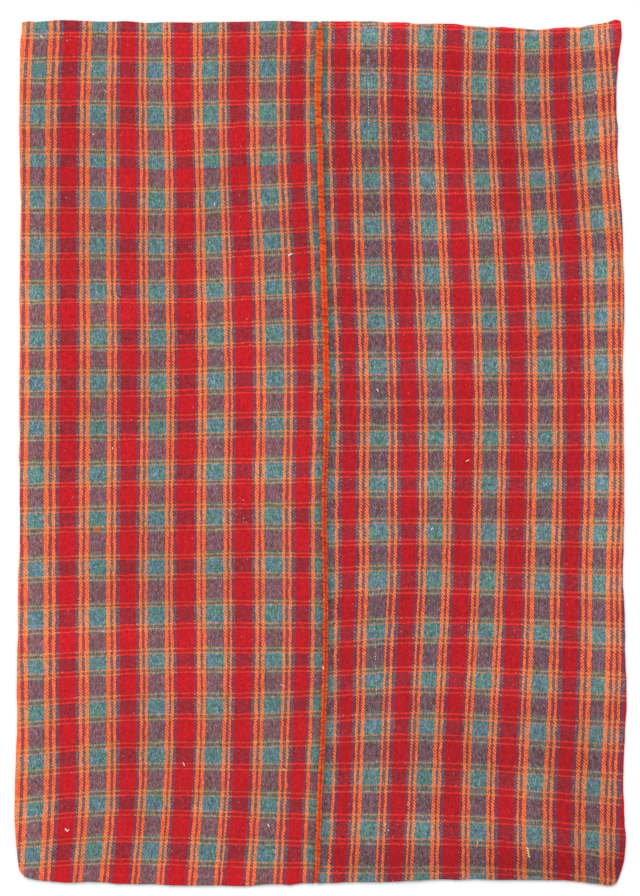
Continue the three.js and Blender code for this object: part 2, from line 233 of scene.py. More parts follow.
# ---- stripe charts: yarn letter and number of threads --------------------------
# R red, T teal, O orange, n navy in the warp; D the dark line in the weft.
# Ends run left to right, picks from the head down.
LEFT_ENDS = """
    O6 m5 O6 T24 O7 m5 O5 n6 R24 n5 O5 m4 O6 T26 O6 m4 O4 n6 R24 n5 O4 m4 O4 T26 O5 m3 O4 n5 R26 n4
    O5 m3 O5 T26 O5 m4 O3 n5 R25 n5 O5 m4 O5 T27 O4 m5 O4 n6 R20 n4 O5 T8
"""
RIGHT_ENDS = """
    T15 O4 n5 R18 n5 O4 m4 O5 T26 O3 m5 O4 n6 R21 n4 O3 m4 O4 T23 O5 m3 O4 n5 R23 n3 O4 m3 O4 T23 O4
    m3 O4 n5 R22 n4 O3 m4 O6 T23 O5 m4 O4 n6 R20 n5 O5 m4 O6 T20 O6 m4 O4 m4 O4 n6 R23
"""
LEFT_PICKS = """
    T32 O2 D3 O2 D2 R20 D3 O2 D3 O2 T20 O2 D4 O2 D2 R18 D3 O2 D3 O2 T22 O2 D3 O2 D2 R22 D3 O2 D4 O2
    T16 R22 D3 O2 D2 O2 T21 O2 D4 O2 D2 R20 D3 O2 D3 O2 T19 O2 D5 O2 D2 R21 D3 O2 D3 O2 T18 O2 D2 O2
    D2 R23 D3 O2 D3 O2 T20 O2 D3 O2 D2 R20 D3 O2 D4 O2 T19 O2 D5 O2 D1 R20 D3 O2 D4 O2 T17 O2 D4 O2
    D2 R22 D3 O2 D3 O2 T20 O2 D3 O2 D2 R20 D3 O2 D4 O2 T19 O2 D4 O2 D2 R25 D3 O2 D3 O2 T19 O2 D4 O2
    D2 R24 D3 O2 D3 O2 T22 O2 D4 O2 D2 R21 D2 O2 D4 O2 T17 O2 D4 O2 D2 R22 D2 O2 D4 O2 T19 O2 D4 O2
    D2 R24 D3 O2 D4 O2 T20 O2 D5 O2 D2 R22 D3 O2 D4 O2 T18 O2 D4 O2 D2 R22 D3 O2 D4 O2 T21 O2 D4 O2
    D1 R49
"""
RIGHT_PICKS = """
    R20 D2 O2 D2 O2 T19 O2 D2 O2 D2 R19 D2 O2 D3 O2 T19 O2 D4 O2 D2 R20 D2 O2 D3 O2 T21 O2 D4 O2 D2
    R19 D3 O2 D3 O2 T17 O2 D4 O2 D1 R20 D2 O2 D3 O2 T18 O2 D3 O2 D2 R19 D3 O2 D4 O2 T21 O2 D3 O2 D2
    R19 D2 O2 D4 O2 T17 O2 D3 O2 D2 R19 D2 O2 D5 O2 T18 O2 D4 O2 D2 R19 D3 O2 D3 O2 D2 R19 D2 O2 D5
    O2 T16 O2 D4 O2 D1 R20 D3 O2 D4 O2 T17 O2 D4 O2 D2 R21 D3 O2 D3 O2 T19 O2 D3 O2 D2 R20 D3 O2 D4
    O2 T20 O2 D4 O2 D2 R24 D2 O2 D4 O2 T17 O2 D4 O2 D2 R23 D3 O2 D3 O2 T18 O2 D4 O2 D2 R19 D3 O2 D4
    O2 T18 O2 D5 O2 D2 R21 D2 O2 D5 O2 T19 O2 D6 O2 D1 R23 D2 O2 D5 O2 T20 O2 D4 O2 D1 R23 D2 O2 D5
    O2 T34
"""

# Yarn colours, linear: the warp of both strips, then the weft of each
WARP_YARN = {
    "R": (0.640, 0.0047, 0.0112),
    "T": (0.149, 0.1860, 0.2210),
    "O": (1.000, 0.1792, 0.0460),
    "n": (0.205, 0.0450, 0.0890),
    "m": (0.248, 0.0680, 0.0860),
}
LEFT_WEFT = {
    "R": (0.344, 0.0194, 0.0225),
    "T": (0.061, 0.2409, 0.1873),
    "O": (0.710, 0.2483, 0.0932),
    "D": (0.166, 0.0732, 0.0279),
}
RIGHT_WEFT = {
    "R": (0.182, 0.0132, 0.0167),
    "T": (0.073, 0.2400, 0.1864),
    "O": (0.678, 0.2011, 0.0737),
    "D": (0.119, 0.0669, 0.0362),
}
BLEND = 0.6
WARP_BIAS = 1.1      # the warp covers about two thirds of the face

# ---- camera, straight above ----------------------------------------------------
cam_data = bpy.data.cameras.new("camera")
cam_data.lens = 100
cam_data.sensor_fit = "VERTICAL"
cam_data.sensor_height = 36
cam_data.sensor_width = 36
cam = bpy.data.objects.new("camera", cam_data)
bpy.context.scene.collection.objects.link(cam)
FRAME_HIGH = 1858.3
cam.location = (-0.93 * MM, 10.06 * MM, (FRAME_HIGH / 36 * 100 + 3) * MM)
cam.rotation_euler = (0, 0, 0)
bpy.context.scene.camera = cam


# ---- small helpers ---------------------------------------------------------------
def clamp01(f):
    return np.clip(f, 0.0, 1.0)


def smooth(f):
    g = clamp01(f)
    return g * g * (3 - 2 * g)


def curve(table, key, value, place):
    """A smooth curve through a table's rows, read at places along its key column."""
    rows = np.array(table, float)
    k, v = rows[:, key], rows[:, value]
    if k[0] > k[-1]:
        k, v = k[::-1], v[::-1]
    slope = np.gradient(v, k)
    place = np.asarray(place, float)
    i = np.clip(np.searchsorted(k, place) - 1, 0, len(k) - 2)
    h = k[i + 1] - k[i]
    f = (place - k[i]) / h
    f = np.clip(f, -0.6, 1.6)
    a, b = v[i], v[i + 1]
    return (
        (2 * f**3 - 3 * f**2 + 1) * a
        + (f**3 - 2 * f**2 + f) * h * slope[i]
        + (-2 * f**3 + 3 * f**2) * b
        + (f**3 - f**2) * h * slope[i + 1]
    )


def along(table, key, share):
    """x and y at a share of the way along a table by its key column."""
    place = table[0][key] + (table[-1][key] - table[0][key]) * np.asarray(share, float)
    other = curve(table, key, 1 - key, place)
    return (place, other) if key == 0 else (other, place)


def noise1(x, seed):
    """Soft random waves along a line, about -1 to 1, one cell a unit."""
    x = np.asarray(x, float)
    rng = np.random.default_rng(seed)
    values = rng.uniform(-1, 1, 4096)
    i = np.floor(x).astype(int)
    f = x - i
    g = f * f * (3 - 2 * f)
    return values[i % 4096] * (1 - g) + values[(i + 1) % 4096] * g


def noise2(x, y, seed):
    """Soft random dimples over a plane, about -1 to 1, one cell a unit."""
    x, y = np.asarray(x, float), np.asarray(y, float)
    rng = np.random.default_rng(seed)
    values = rng.uniform(-1, 1, (256, 256))
    i, j = np.floor(x).astype(int), np.floor(y).astype(int)
    f, g = x - i, y - j
    f, g = f * f * (3 - 2 * f), g * g * (3 - 2 * g)
    a, b = values[i % 256, j % 256], values[(i + 1) % 256, j % 256]
    c, d = values[i % 256, (j + 1) % 256], values[(i + 1) % 256, (j + 1) % 256]
    return (a * (1 - f) + b * f) * (1 - g) + (c * (1 - f) + d * f) * g


def drift(columns, rows, x, y):
    """A drift table read smoothly at points of the cloth."""
    table = np.array(rows, float)
    across = np.stack(
        [curve(list(zip(DRIFT_ROWS[::-1], table[::-1, c])), 0, 1, y) for c in range(len(columns))]
    )
    k = np.array(columns, float)
    i = np.clip(np.searchsorted(k, x) - 1, 0, len(k) - 2)
    slope = np.empty_like(across)
    for c in range(len(columns)):
        lo, hi = max(c - 1, 0), min(c + 1, len(columns) - 1)
        slope[c] = (across[hi] - across[lo]) / (k[hi] - k[lo])
    pick = lambda m, n: np.take_along_axis(m, n[None], 0)[0]
    h = k[i + 1] - k[i]
    f = np.clip((x - k[i]) / h, -0.6, 1.6)
    return (
        (2 * f**3 - 3 * f**2 + 1) * pick(across, i)
        + (f**3 - 2 * f**2 + f) * h * pick(slope, i)
        + (-2 * f**3 + 3 * f**2) * pick(across, i + 1)
        + (f**3 - f**2) * h * pick(slope, i + 1)
    )


def ridges_at(x, y):
    total = np.zeros_like(x)
    for rx, ry, rlen, rwid, turn, high in RIDGES:
        a = math.radians(turn)
        dx, dy = x - rx, y - ry
        on = dx * math.cos(a) + dy * math.sin(a)
        off = -dx * math.sin(a) + dy * math.cos(a)
        total += high * np.exp(-((on / rlen) ** 2) - (off / rwid) ** 2)
    low = total - SETTLE
    return 0.5 * (low + np.sqrt(low * low + 0.09)) - 0.08


def pucker(x, y):
    """The fine unevenness of handwoven cloth, up to about half a millimetre."""
    big = noise2(x / 46 + 7, y / 58 + 3, 11) * 0.34
    small = noise2(x / 17 + 1, y / 21 + 9, 12) * 0.17
    return big + small + 0.4


# ---- one woven strip ---------------------------------------------------------------
def seam_side(share, way):
    place = SEAM_LINE[0][1] + (SEAM_LINE[-1][1] - SEAM_LINE[0][1]) * np.asarray(share, float)
    x = curve(SEAM_LINE, 1, 0, place)
    wide = curve(SEAM_LINE, 1, 2, place)
    return x + way * (wide / 2 + GAP), place


STRIPS = {
    "left": dict(
        start=lambda t: along(LEFT_SIDE, 1, t), stop=lambda t: seam_side(t, -1),
        foot=LEFT_FOOT, head=LEFT_HEAD, outer="start", seed=31,
        columns=LEFT_COLUMNS, lean=LEFT_LEAN, bow=LEFT_BOW,
        first_end=-629.2, first_pick=923.5, end=1.384, pick=1.581, weft=LEFT_WEFT,
    ),
    "right": dict(
        start=lambda t: seam_side(t, 1), stop=lambda t: along(RIGHT_SIDE, 1, t),
        foot=RIGHT_FOOT, head=RIGHT_HEAD, outer="stop", seed=57,
        columns=RIGHT_COLUMNS, lean=RIGHT_LEAN, bow=RIGHT_BOW,
        first_end=3.4, first_pick=923.5, end=1.473, pick=1.70, weft=RIGHT_WEFT,
    ),
}


def place_on(strip, s, t):
    """x and y of points of a strip, s across and t along, both 0 to 1."""
    ax, ay = strip["start"](t)
    bx, by = strip["stop"](t)
    fx, fy = along(strip["foot"], 0, s)
    hx, hy = along(strip["head"], 0, s)

    def bowed(v, v0, v1):
        return v - (v0 + (v1 - v0) * s)

    f, h = strip["foot"], strip["head"]
    x = ax + (bx - ax) * s + (1 - t) * bowed(fx, f[0][0], f[-1][0]) + t * bowed(hx, h[0][0], h[-1][0])
    y = ay + (by - ay) * s + (1 - t) * bowed(fy, f[0][1], f[-1][1]) + t * bowed(hy, h[0][1], h[-1][1])
    return x, y


def lines(size, cells):
    near = [d / size for d in NEAR_EDGE]
    inner = near[-1]
    even = [inner + (1 - 2 * inner) * i / cells for i in range(1, cells)]
    return np.array([0.0] + near + even + [1 - d for d in reversed(near)] + [1.0])


def threads_at(strip, x, y):
    """The thread coordinates of points of a strip: mm across the ends and down the picks."""
    u = x + drift(strip["columns"], strip["lean"], x, y) - strip["first_end"]
    w = strip["first_pick"] - (y + drift(strip["columns"], strip["bow"], x, y))
    return u, w


def trim(table, place):
    rows = np.array(table, float)
    return np.interp(place, rows[:, 0], rows[:, 1])


def surface(strip, s, t):
    """Everything about points of a strip: x, y, upper and under height, edge distances."""
    x, y = place_on(strip, s, t)
    seed = strip["seed"]
    d_start, d_stop = s * STRIP_WIDE, (1 - s) * STRIP_WIDE
    d_foot, d_head = t * STRIP_LONG, (1 - t) * STRIP_LONG
    if strip["outer"] == "start":
        d_outer, d_seam, out = d_start, d_stop, -1
    else:
        d_outer, d_seam, out = d_stop, d_start, 1
    d_end = np.minimum(d_foot, d_head)

    # the folded edges run a little unevenly
    uneven = noise1(y / 31, seed) * 0.55 + noise1(y / 11, seed + 1) * 0.3
    x = x + out * uneven * np.exp(-d_outer / 22)
    uneven = noise1(x / 27, seed + 2) * 0.5 + noise1(x / 9, seed + 3) * 0.25
    y = y + uneven * np.exp(-d_end / 20) * np.where(d_foot < d_head, -1, 1)
    side = LEFT_TRIM if out < 0 else RIGHT_TRIM
    dx = trim(side, y) * np.exp(-((d_outer / 24) ** 2))
    dy = trim(HEAD_TRIM, x) * np.exp(-((d_head / 24) ** 2)) + trim(FOOT_TRIM, x) * np.exp(-((d_foot / 24) ** 2))
    x, y = x + dx, y + dy

    turned_end = 1 - smooth((d_end - HEM) / TURN_EASE)
    turned_side = 1 - smooth((d_outer - SELVEDGE) / TURN_EASE)
    turned = np.maximum(turned_end, turned_side)
    upper = CLOTH * (1 + 0.9 * turned)
    folded = (d_end < HEM) | (d_outer < SELVEDGE)
    under = np.where(folded, 0.0, upper - CLOTH)

    # the cloth climbs a little into the seam, and the ends ripple
    climb = 0.95 * smooth(1 - d_seam / 15)
    ripple = 0.55 * (1 + noise1(x / 34, seed + 4)) * np.exp(-d_end / 17)
    ripple = ripple + 0.5 * (1 + noise1(y / 38, seed + 5)) * np.exp(-d_outer / 15)
    near = np.minimum(np.minimum(d_start, d_stop), d_end)
    lift = ridges_at(x, y) * smooth((near - 22) / EDGE_CALM)
    lift = np.maximum(lift, 0) + climb + ripple + pucker(x, y) * smooth(near / 30)
    # the seam gathers its edges into small puckers
    gather = noise1(y / 13, seed + 6) * 0.45 * np.exp(-((d_seam - 16) / 13) ** 2)
    lift = np.maximum(lift + gather, 0)

    # rounded rim
    radius = upper / 2
    rim = np.ones_like(x)
    for d in (d_start, d_stop, d_foot, d_head):
        f = clamp01(d / radius)
        rim = rim * np.sqrt(np.maximum(1 - (1 - f) ** 2, 0))
    middle = lift + (upper + under) / 2
    half = (upper - under) / 2
    return dict(
        x=x, y=y, top=middle + half * rim, low=middle - half * rim,
        foot=d_foot, head=d_head, outer=d_outer, seam=d_seam,
    )


def painted_light_and_shade_at(x, y, d_seam, outer):
    """Painted light and shade on the cloth's face: it is darker beside the seam, as painted shade where the
    cloth dips into the seam's valley, and lighter and darker in patches.
    """
    deep, far = (0.30, 9.0) if outer == "start" else (0.36, 11.0)
    # painted shade beside the seam, deepest at the seam and fading away from it
    tone = 1 - deep * np.exp(-((d_seam / far) ** 1.3))
    # painted light and shade: each patch makes the cloth lighter or darker
    for px, py, wide, high, change in LIGHT_AND_SHADE_PATCHES:
        tone = tone * (1 + change * np.exp(-(((x - px) / wide) ** 2) - ((y - py) / high) ** 2))
    return tone


def make_strip(name, strip, material):
    sl, tl = lines(STRIP_WIDE, CELLS_ACROSS), lines(STRIP_LONG, CELLS_ALONG)
    ns, nt = len(sl), len(tl)
    s, t = np.meshgrid(sl, tl)          # rows run along the strip
    q = surface(strip, s, t)
    # every point of the rim is shared by both faces
    edge = np.zeros((nt, ns), bool)
    edge[0], edge[-1], edge[:, 0], edge[:, -1] = True, True, True, True
    upper = np.arange(ns * nt).reshape(nt, ns)
    lower = upper.copy()
    lower[~edge] = ns * nt + np.arange(np.count_nonzero(~edge))
    points = np.concatenate([
        np.stack([q["x"], q["y"], q["top"]], -1).reshape(-1, 3),
        np.stack([q["x"], q["y"], q["low"]], -1)[~edge],
    ]) * MM

    def quads(ids, flip):
        a, b, c, d = ids[:-1, :-1], ids[:-1, 1:], ids[1:, 1:], ids[1:, :-1]
        order = (a, d, c, b) if flip else (a, b, c, d)
        return np.stack(order, -1).reshape(-1, 4)

    grid = np.arange(ns * nt).reshape(nt, ns)
    faces = np.concatenate([quads(upper, False), quads(lower, True)])
    corners = np.concatenate([quads(grid, False), quads(grid, True)])   # for the maps
    n_top = (ns - 1) * (nt - 1)

    me = bpy.data.meshes.new(name)
    me.vertices.add(len(points))
    me.vertices.foreach_set("co", points.astype(np.float32).ravel())
    me.loops.add(faces.size)
    me.loops.foreach_set("vertex_index", faces.astype(np.int32).ravel())
    me.polygons.add(len(faces))
    me.polygons.foreach_set("loop_start", np.arange(0, faces.size, 4, dtype=np.int32))
    me.polygons.foreach_set("use_smooth", np.ones(len(faces), bool))

    # where the threads lie; under the folds the cloth comes back on itself
    u, w = threads_at(strip, q["x"], q["y"])
    u, w = u.ravel(), w.ravel()
    foot, head, outer = q["foot"].ravel(), q["head"].ravel(), q["outer"].ravel()
    way = -1 if strip["outer"] == "start" else 1
    cu, cw = u[corners].copy(), w[corners].copy()
    below = corners[n_top:]
    bu, bw = cu[n_top:], cw[n_top:]
    in_foot = (foot[below].mean(1) < 15.2)[:, None]
    in_head = (head[below].mean(1) < 15.2)[:, None]
    in_outer = (outer[below].mean(1) < 10.2)[:, None]
    bw += np.where(in_foot, 2 * foot[below], 0) - np.where(in_head, 2 * head[below], 0)
    bu += way * np.where(in_outer, 2 * outer[below], 0)
    bw += 2 * strip["pick"]              # the other face of the twill
    thread = me.uv_layers.new(name="thread")
    thread.data.foreach_set("uv", (np.stack([cu, cw], -1) * MM).astype(np.float32).ravel())

    # painted light and shade: where the cloth is a little darker or lighter
    painted_light_and_shade = painted_light_and_shade_at(q["x"], q["y"], q["seam"], strip["outer"]).ravel()[corners]
    shade = me.uv_layers.new(name="tone")
    # the map's second coordinate: nearness to the seam, for the painted orange reflection from it
    seam_reflection = np.exp(-((q["seam"] / 7.0) ** 1.4)).ravel()[corners]
    shade.data.foreach_set("uv", np.stack([painted_light_and_shade, seam_reflection], -1).astype(np.float32).ravel())

    # a flat layout of both faces: head half, foot half, then the underside
    lay = me.uv_layers.new(name="OFBake")
    fs, ft = s.ravel()[corners], t.ravel()[corners]
    a = np.empty_like(fs)
    b = np.empty_like(ft)
    top = np.zeros(len(faces), bool)
    top[:n_top] = True
    upper_half = top & (ft.mean(1) > 0.5)
    lower_half = top & ~upper_half
    a[upper_half], b[upper_half] = 0.004 + 0.392 * fs[upper_half], 0.004 + 0.992 * (2 * ft[upper_half] - 1)
    a[lower_half], b[lower_half] = 0.404 + 0.392 * fs[lower_half], 0.004 + 0.992 * 2 * ft[lower_half]
    a[~top], b[~top] = 0.996 - 0.192 * fs[~top], 0.004 + 0.992 * ft[~top]
    lay.data.foreach_set("uv", np.stack([a, b], -1).astype(np.float32).ravel())

    me.materials.append(material)
    me.update(calc_edges=True)
    me.validate()
    ob = bpy.data.objects.new(name, me)
    bpy.context.scene.collection.objects.link(ob)
    return ob


# ---- materials ------------------------------------------------------------------------
class Graph:
    """Short ways to build a node tree."""

    def __init__(self, name):
        self.mat = bpy.data.materials.new(name)
        self.mat.use_nodes = True
        self.nt = self.mat.node_tree
        self.shader = self.nt.nodes["Principled BSDF"]

    def put(self, socket, value):
        if isinstance(value, bpy.types.NodeSocket):
            self.nt.links.new(value, socket)
        else:
            socket.default_value = value

    def math(self, op, a, b=0.0, c=None, clamp=False):
        n = self.nt.nodes.new("ShaderNodeMath")
        n.operation = op
        n.use_clamp = clamp
        self.put(n.inputs[0], a)
        self.put(n.inputs[1], b)
        if c is not None:
            self.put(n.inputs[2], c)
        return n.outputs[0]

    def mix(self, factor, a, b, blend="MIX"):
        n = self.nt.nodes.new("ShaderNodeMix")
        n.data_type = "RGBA"
        n.blend_type = blend
        self.put(n.inputs[0], factor)
        self.put(n.inputs[6], a if isinstance(a, bpy.types.NodeSocket) else (*a, 1))
        self.put(n.inputs[7], b if isinstance(b, bpy.types.NodeSocket) else (*b, 1))
        return n.outputs[2]

    def blend(self, factor, a, b):
        n = self.nt.nodes.new("ShaderNodeMix")
        n.data_type = "FLOAT"
        self.put(n.inputs[0], factor)
        self.put(n.inputs[2], a)
        self.put(n.inputs[3], b)
        return n.outputs[0]

    def span(self, value, low, high, to_low, to_high):
        n = self.nt.nodes.new("ShaderNodeMapRange")
        n.interpolation_type = "SMOOTHSTEP"
        self.put(n.inputs[0], value)
        for k, v in enumerate((low, high, to_low, to_high)):
            n.inputs[k + 1].default_value = v
        return n.outputs[0]

    def join(self, x, y, z=0.0):
        n = self.nt.nodes.new("ShaderNodeCombineXYZ")
        for k, v in enumerate((x, y, z)):
            self.put(n.inputs[k], v)
        return n.outputs[0]

    def noise(self, vector, scale=1.0, detail=1.0, rough=0.5, dims="3D"):
        n = self.nt.nodes.new("ShaderNodeTexNoise")
        n.noise_dimensions = dims
        self.put(n.inputs["Vector"], vector)
        n.inputs["Scale"].default_value = scale
        n.inputs["Detail"].default_value = detail
        n.inputs["Roughness"].default_value = rough
        return n.outputs[0]

    def white(self, value):
        n = self.nt.nodes.new("ShaderNodeTexWhiteNoise")
        n.noise_dimensions = "1D"
        self.put(n.inputs["W"], value)
        return n.outputs[0]

    def dice(self, x, y):
        """Three random numbers that stay the same over one cell."""
        n = self.nt.nodes.new("ShaderNodeTexWhiteNoise")
        n.noise_dimensions = "2D"
        self.put(n.inputs["Vector"], self.join(x, y))
        s = self.nt.nodes.new("ShaderNodeSeparateColor")
        self.put(s.inputs[0], n.outputs[1])
        return s.outputs[0], s.outputs[1], s.outputs[2]

    def grey(self, colour):
        n = self.nt.nodes.new("ShaderNodeRGBToBW")
        self.put(n.inputs[0], colour)
        return n.outputs[0]

    def power(self, colour, exponent):
        n = self.nt.nodes.new("ShaderNodeGamma")
        self.put(n.inputs[0], colour)
        self.put(n.inputs[1], exponent)
        return n.outputs[0]

    def scaled(self, colour, factor):
        n = self.nt.nodes.new("ShaderNodeVectorMath")
        n.operation = "SCALE"
        self.put(n.inputs[0], colour)
        self.put(n.inputs[3], factor)
        return n.outputs[0]


def read_chart(text):
    return [(w[0], int(w[1:])) for w in text.split()]


def chart(g, index, text, yarns):
    """Colour of a thread by its number, and its kind: 1 teal, 0.5 orange, 0.25 dark warp, 0 any other."""
    bands, count = [], 0
    for letter, threads in read_chart(text):
        bands.append((letter, count))
        count += threads
    span = 125
    colour = teal = None
    for k in range((count + span - 1) // span):
        low, high = k * span, (k + 1) * span
        stops = [(max(start, low), letter) for n, (letter, start) in enumerate(bands)
                 if start < high and (n + 1 == len(bands) or bands[n + 1][1] > low)]
        n = g.nt.nodes.new("ShaderNodeValToRGB")
        ramp = n.color_ramp
        ramp.interpolation = "CONSTANT"
        while len(ramp.elements) > 1:
            ramp.elements.remove(ramp.elements[-1])
        for m, (start, letter) in enumerate(stops):
            place = (start - low) / span
            e = ramp.elements[0] if m == 0 else ramp.elements.new(place)
            e.position = place
            e.color = (*yarns[letter], {"T": 1.0, "O": 0.5, "n": 0.25, "m": 0.25}.get(letter, 0.0))
        where = g.math("MULTIPLY", g.math("SUBTRACT", index, low - 0.5), 1 / span)
        g.put(n.inputs[0], where)
        if colour is None:
            colour, teal = n.outputs[0], n.outputs[1]
        else:
            past = g.math("GREATER_THAN", index, low - 0.5)
            colour = g.mix(past, colour, n.outputs[0])
            teal = g.blend(past, teal, n.outputs[1])
    return colour, teal


def wool_cloth(name, strip, ends, picks):
    g = Graph(name)
    uv = g.nt.nodes.new("ShaderNodeUVMap")
    uv.uv_map = "thread"
    sep = g.nt.nodes.new("ShaderNodeSeparateXYZ")
    g.put(sep.inputs[0], uv.outputs[0])
    u0, w0 = sep.outputs[0], sep.outputs[1]

    # threads wander a little off their lines
    flow = g.nt.nodes.new("ShaderNodeTexNoise")
    flow.noise_dimensions = "2D"
    g.put(flow.inputs["Vector"], uv.outputs[0])
    flow.inputs["Scale"].default_value = 48
    flow.inputs["Detail"].default_value = 2
    wander = g.nt.nodes.new("ShaderNodeSeparateXYZ")
    g.put(wander.inputs[0], flow.outputs[1])
    u = g.math("MULTIPLY_ADD", g.math("SUBTRACT", wander.outputs[0], 0.5), 0.0042, u0)
    w = g.math("MULTIPLY_ADD", g.math("SUBTRACT", wander.outputs[1], 0.5), 0.0036, w0)

    U = g.math("MULTIPLY", u, 1000 / strip["end"])
    W = g.math("MULTIPLY", w, 1000 / strip["pick"])
    i, j = g.math("FLOOR", U), g.math("FLOOR", W)
    fi, fj = g.math("SUBTRACT", U, i), g.math("SUBTRACT", W, j)

    # two-and-two twill: which thread is on top, and how high
    def bulge(f):
        return g.math("MULTIPLY", g.math("MULTIPLY", f, g.math("SUBTRACT", 1.0, f)), 4 * 0.9)

    rise_w = g.math("COSINE", g.math("MULTIPLY", g.math("SUBTRACT", i, W), PI / 2))
    rise_f = g.math("COSINE", g.math("MULTIPLY", g.math("SUBTRACT", g.math("SUBTRACT", U, j), 1.0), PI / 2))
    ends_c, ends_k = chart(g, i, ends, WARP_YARN)
    picks_c, picks_k = chart(g, j, picks, strip["weft"])
    # every float of a thread stands a little more or less proud than the next
    spot_w = g.math("FLOOR", g.math("MULTIPLY_ADD", g.math("SUBTRACT", W, i), 0.25, 0.5))
    spot_f = g.math("FLOOR", g.math("MULTIPLY_ADD", g.math("SUBTRACT", U, j), 0.25, -0.25))
    dice_w = g.dice(g.math("ADD", i, 17.5), g.math("ADD", spot_w, 3.5))
    dice_f = g.dice(g.math("ADD", j, 911.5), g.math("ADD", spot_f, 5.5))
    stray = g.noise(g.join(U, W), 0.8, 1, 0.5, "2D")
    flats = g.noise(g.join(U, W), 0.16, 2, 0.5, "2D")
    orange_f = g.math("COMPARE", picks_k, 0.5, 0.1)
    is_teal = g.math("GREATER_THAN", ends_k, 0.75)
    is_orange = g.math("COMPARE", ends_k, 0.5, 0.1)
    is_dark = g.math("COMPARE", ends_k, 0.25, 0.1)
    # the hard-spun orange and dark ends lie evenly, the others less so
    loose = g.math("MULTIPLY_ADD", g.math("ADD", is_orange, is_dark), -1.5, 2.6)
    proud_w = g.math("MULTIPLY_ADD", g.math("SUBTRACT", dice_w[0], 0.5), loose, WARP_BIAS)
    proud_w = g.math("MULTIPLY_ADD", g.math("SUBTRACT", stray, 0.5), g.math("MULTIPLY", loose, 0.85), proud_w)
    proud_w = g.math("MULTIPLY_ADD", g.math("SUBTRACT", flats, 0.5), g.math("MULTIPLY", loose, 0.9), proud_w)
    proud_f = g.math("MULTIPLY", g.math("SUBTRACT", dice_f[0], 0.5), loose)
    proud_f = g.math("MULTIPLY_ADD", orange_f, 1.7, proud_f)
    high_w = g.math("ADD", g.math("ADD", rise_w, bulge(fi)), proud_w)
    high_f = g.math("ADD", g.math("SUBTRACT", bulge(fj), rise_f), proud_f)
    on_top = g.math("GREATER_THAN", high_w, high_f)
    high = g.math("MAXIMUM", high_w, high_f)

    # yarn colours, each thread a little different along its length
    slow_w = g.noise(g.join(g.math("MULTIPLY", i, 0.31), g.math("MULTIPLY", w, 16.0)), 1.0, 2, dims="2D")
    slow_f = g.noise(g.join(g.math("MULTIPLY", u, 16.0), g.math("MULTIPLY", j, 0.23)), 1.0, 2, dims="2D")
    shade = g.noise(uv.outputs[0], 34, 3, 0.55, "2D")
    mottle = g.noise(uv.outputs[0], 125, 3, 0.6, "2D")

    def yarn(colour, kind, slow, dice, rise):
        teal = g.math("GREATER_THAN", kind, 0.75)
        spread = g.math("MULTIPLY_ADD", teal, 0.75, 0.32)
        tone = g.math("MULTIPLY_ADD", g.math("SUBTRACT", dice[1], 0.5), spread, 1.0)
        tone = g.math("MULTIPLY_ADD", g.math("SUBTRACT", slow, 0.5), 0.34, tone)
        spread = g.math("MULTIPLY_ADD", teal, 0.02, 0.62)
        tone = g.math("MULTIPLY_ADD", g.math("SUBTRACT", mottle, 0.5), spread, tone)
        # teal runs from green to blue
        hue = g.math("MULTIPLY_ADD", g.math("SUBTRACT", dice[2], 0.5), 0.12, shade)
        green = g.mix(g.span(hue, 0.34, 0.66, 0.0, 1.0), (0.90, 1.04, 0.86), (1.03, 0.97, 1.15))
        tint = g.mix(teal, (1.0, 1.0, 1.0), green)
        dyed = g.scaled(g.mix(1.0, colour, tint, "MULTIPLY"), tone)
        # here and there a pale fibre
        pale = g.math("GREATER_THAN", dice[1], g.math("MULTIPLY_ADD", teal, -0.055, 0.998))
        pale = g.math("MULTIPLY", pale, g.math("GREATER_THAN", rise, 0.5))
        return g.mix(g.math("MULTIPLY", pale, 0.62), dyed, (0.66, 0.60, 0.58))

    warp = yarn(ends_c, ends_k, slow_w, dice_w, rise_w)
    weft = yarn(picks_c, picks_k, slow_f, dice_f, g.math("MULTIPLY", rise_f, -1.0))
    # hairy wool: each thread takes on a little of what it crosses
    # (shares by kind: red 0.77, 0.50; teal 0.77, 0.62; orange 0.95, 0.86; dark 0.94, 0.80)
    keep = g.math("MULTIPLY_ADD", is_orange, 0.18, 0.77)
    keep = g.math("MULTIPLY_ADD", is_dark, 0.17, keep)
    take = g.math("MULTIPLY_ADD", is_teal, 0.12, 0.50)
    take = g.math("MULTIPLY_ADD", is_orange, 0.36, take)
    take = g.math("MULTIPLY_ADD", is_dark, 0.30, take)
    over = g.mix(1.0, g.power(warp, keep), g.power(weft, g.math("SUBTRACT", 1.0, keep)), "MULTIPLY")
    back = g.mix(1.0, g.power(warp, g.math("SUBTRACT", 1.0, take)), g.power(weft, take), "MULTIPLY")
    own = g.mix(on_top, back, over)
    # and from a step away the dyes run together, while light and dark stay apart
    both = g.mix(g.math("MULTIPLY_ADD", orange_f, -0.324, 0.709), back, over)
    even = g.scaled(both, g.math("DIVIDE", g.grey(own), g.math("MAXIMUM", g.grey(both), 0.001)))
    run = g.math("MULTIPLY_ADD", is_teal, -0.48, BLEND)
    run = g.math("MULTIPLY_ADD", is_dark, -0.25, run)
    colour = g.mix(run, own, even)
    # dark and orange ends stand out from the picks that cross them
    plain = g.math("MULTIPLY", is_dark, g.math("SUBTRACT", 1.0, orange_f))
    red_f = g.math("MULTIPLY", plain, g.math("LESS_THAN", picks_k, 0.75))
    up = g.math("MULTIPLY_ADD", is_orange, 0.07, g.math("MULTIPLY_ADD", plain, -0.12, 1.0))
    down = g.math("MULTIPLY_ADD", is_orange, -0.14, g.math("MULTIPLY_ADD", plain, 0.12, 1.0))
    down = g.math("MULTIPLY_ADD", red_f, 0.22, down)
    colour = g.scaled(colour, g.blend(on_top, down, up))
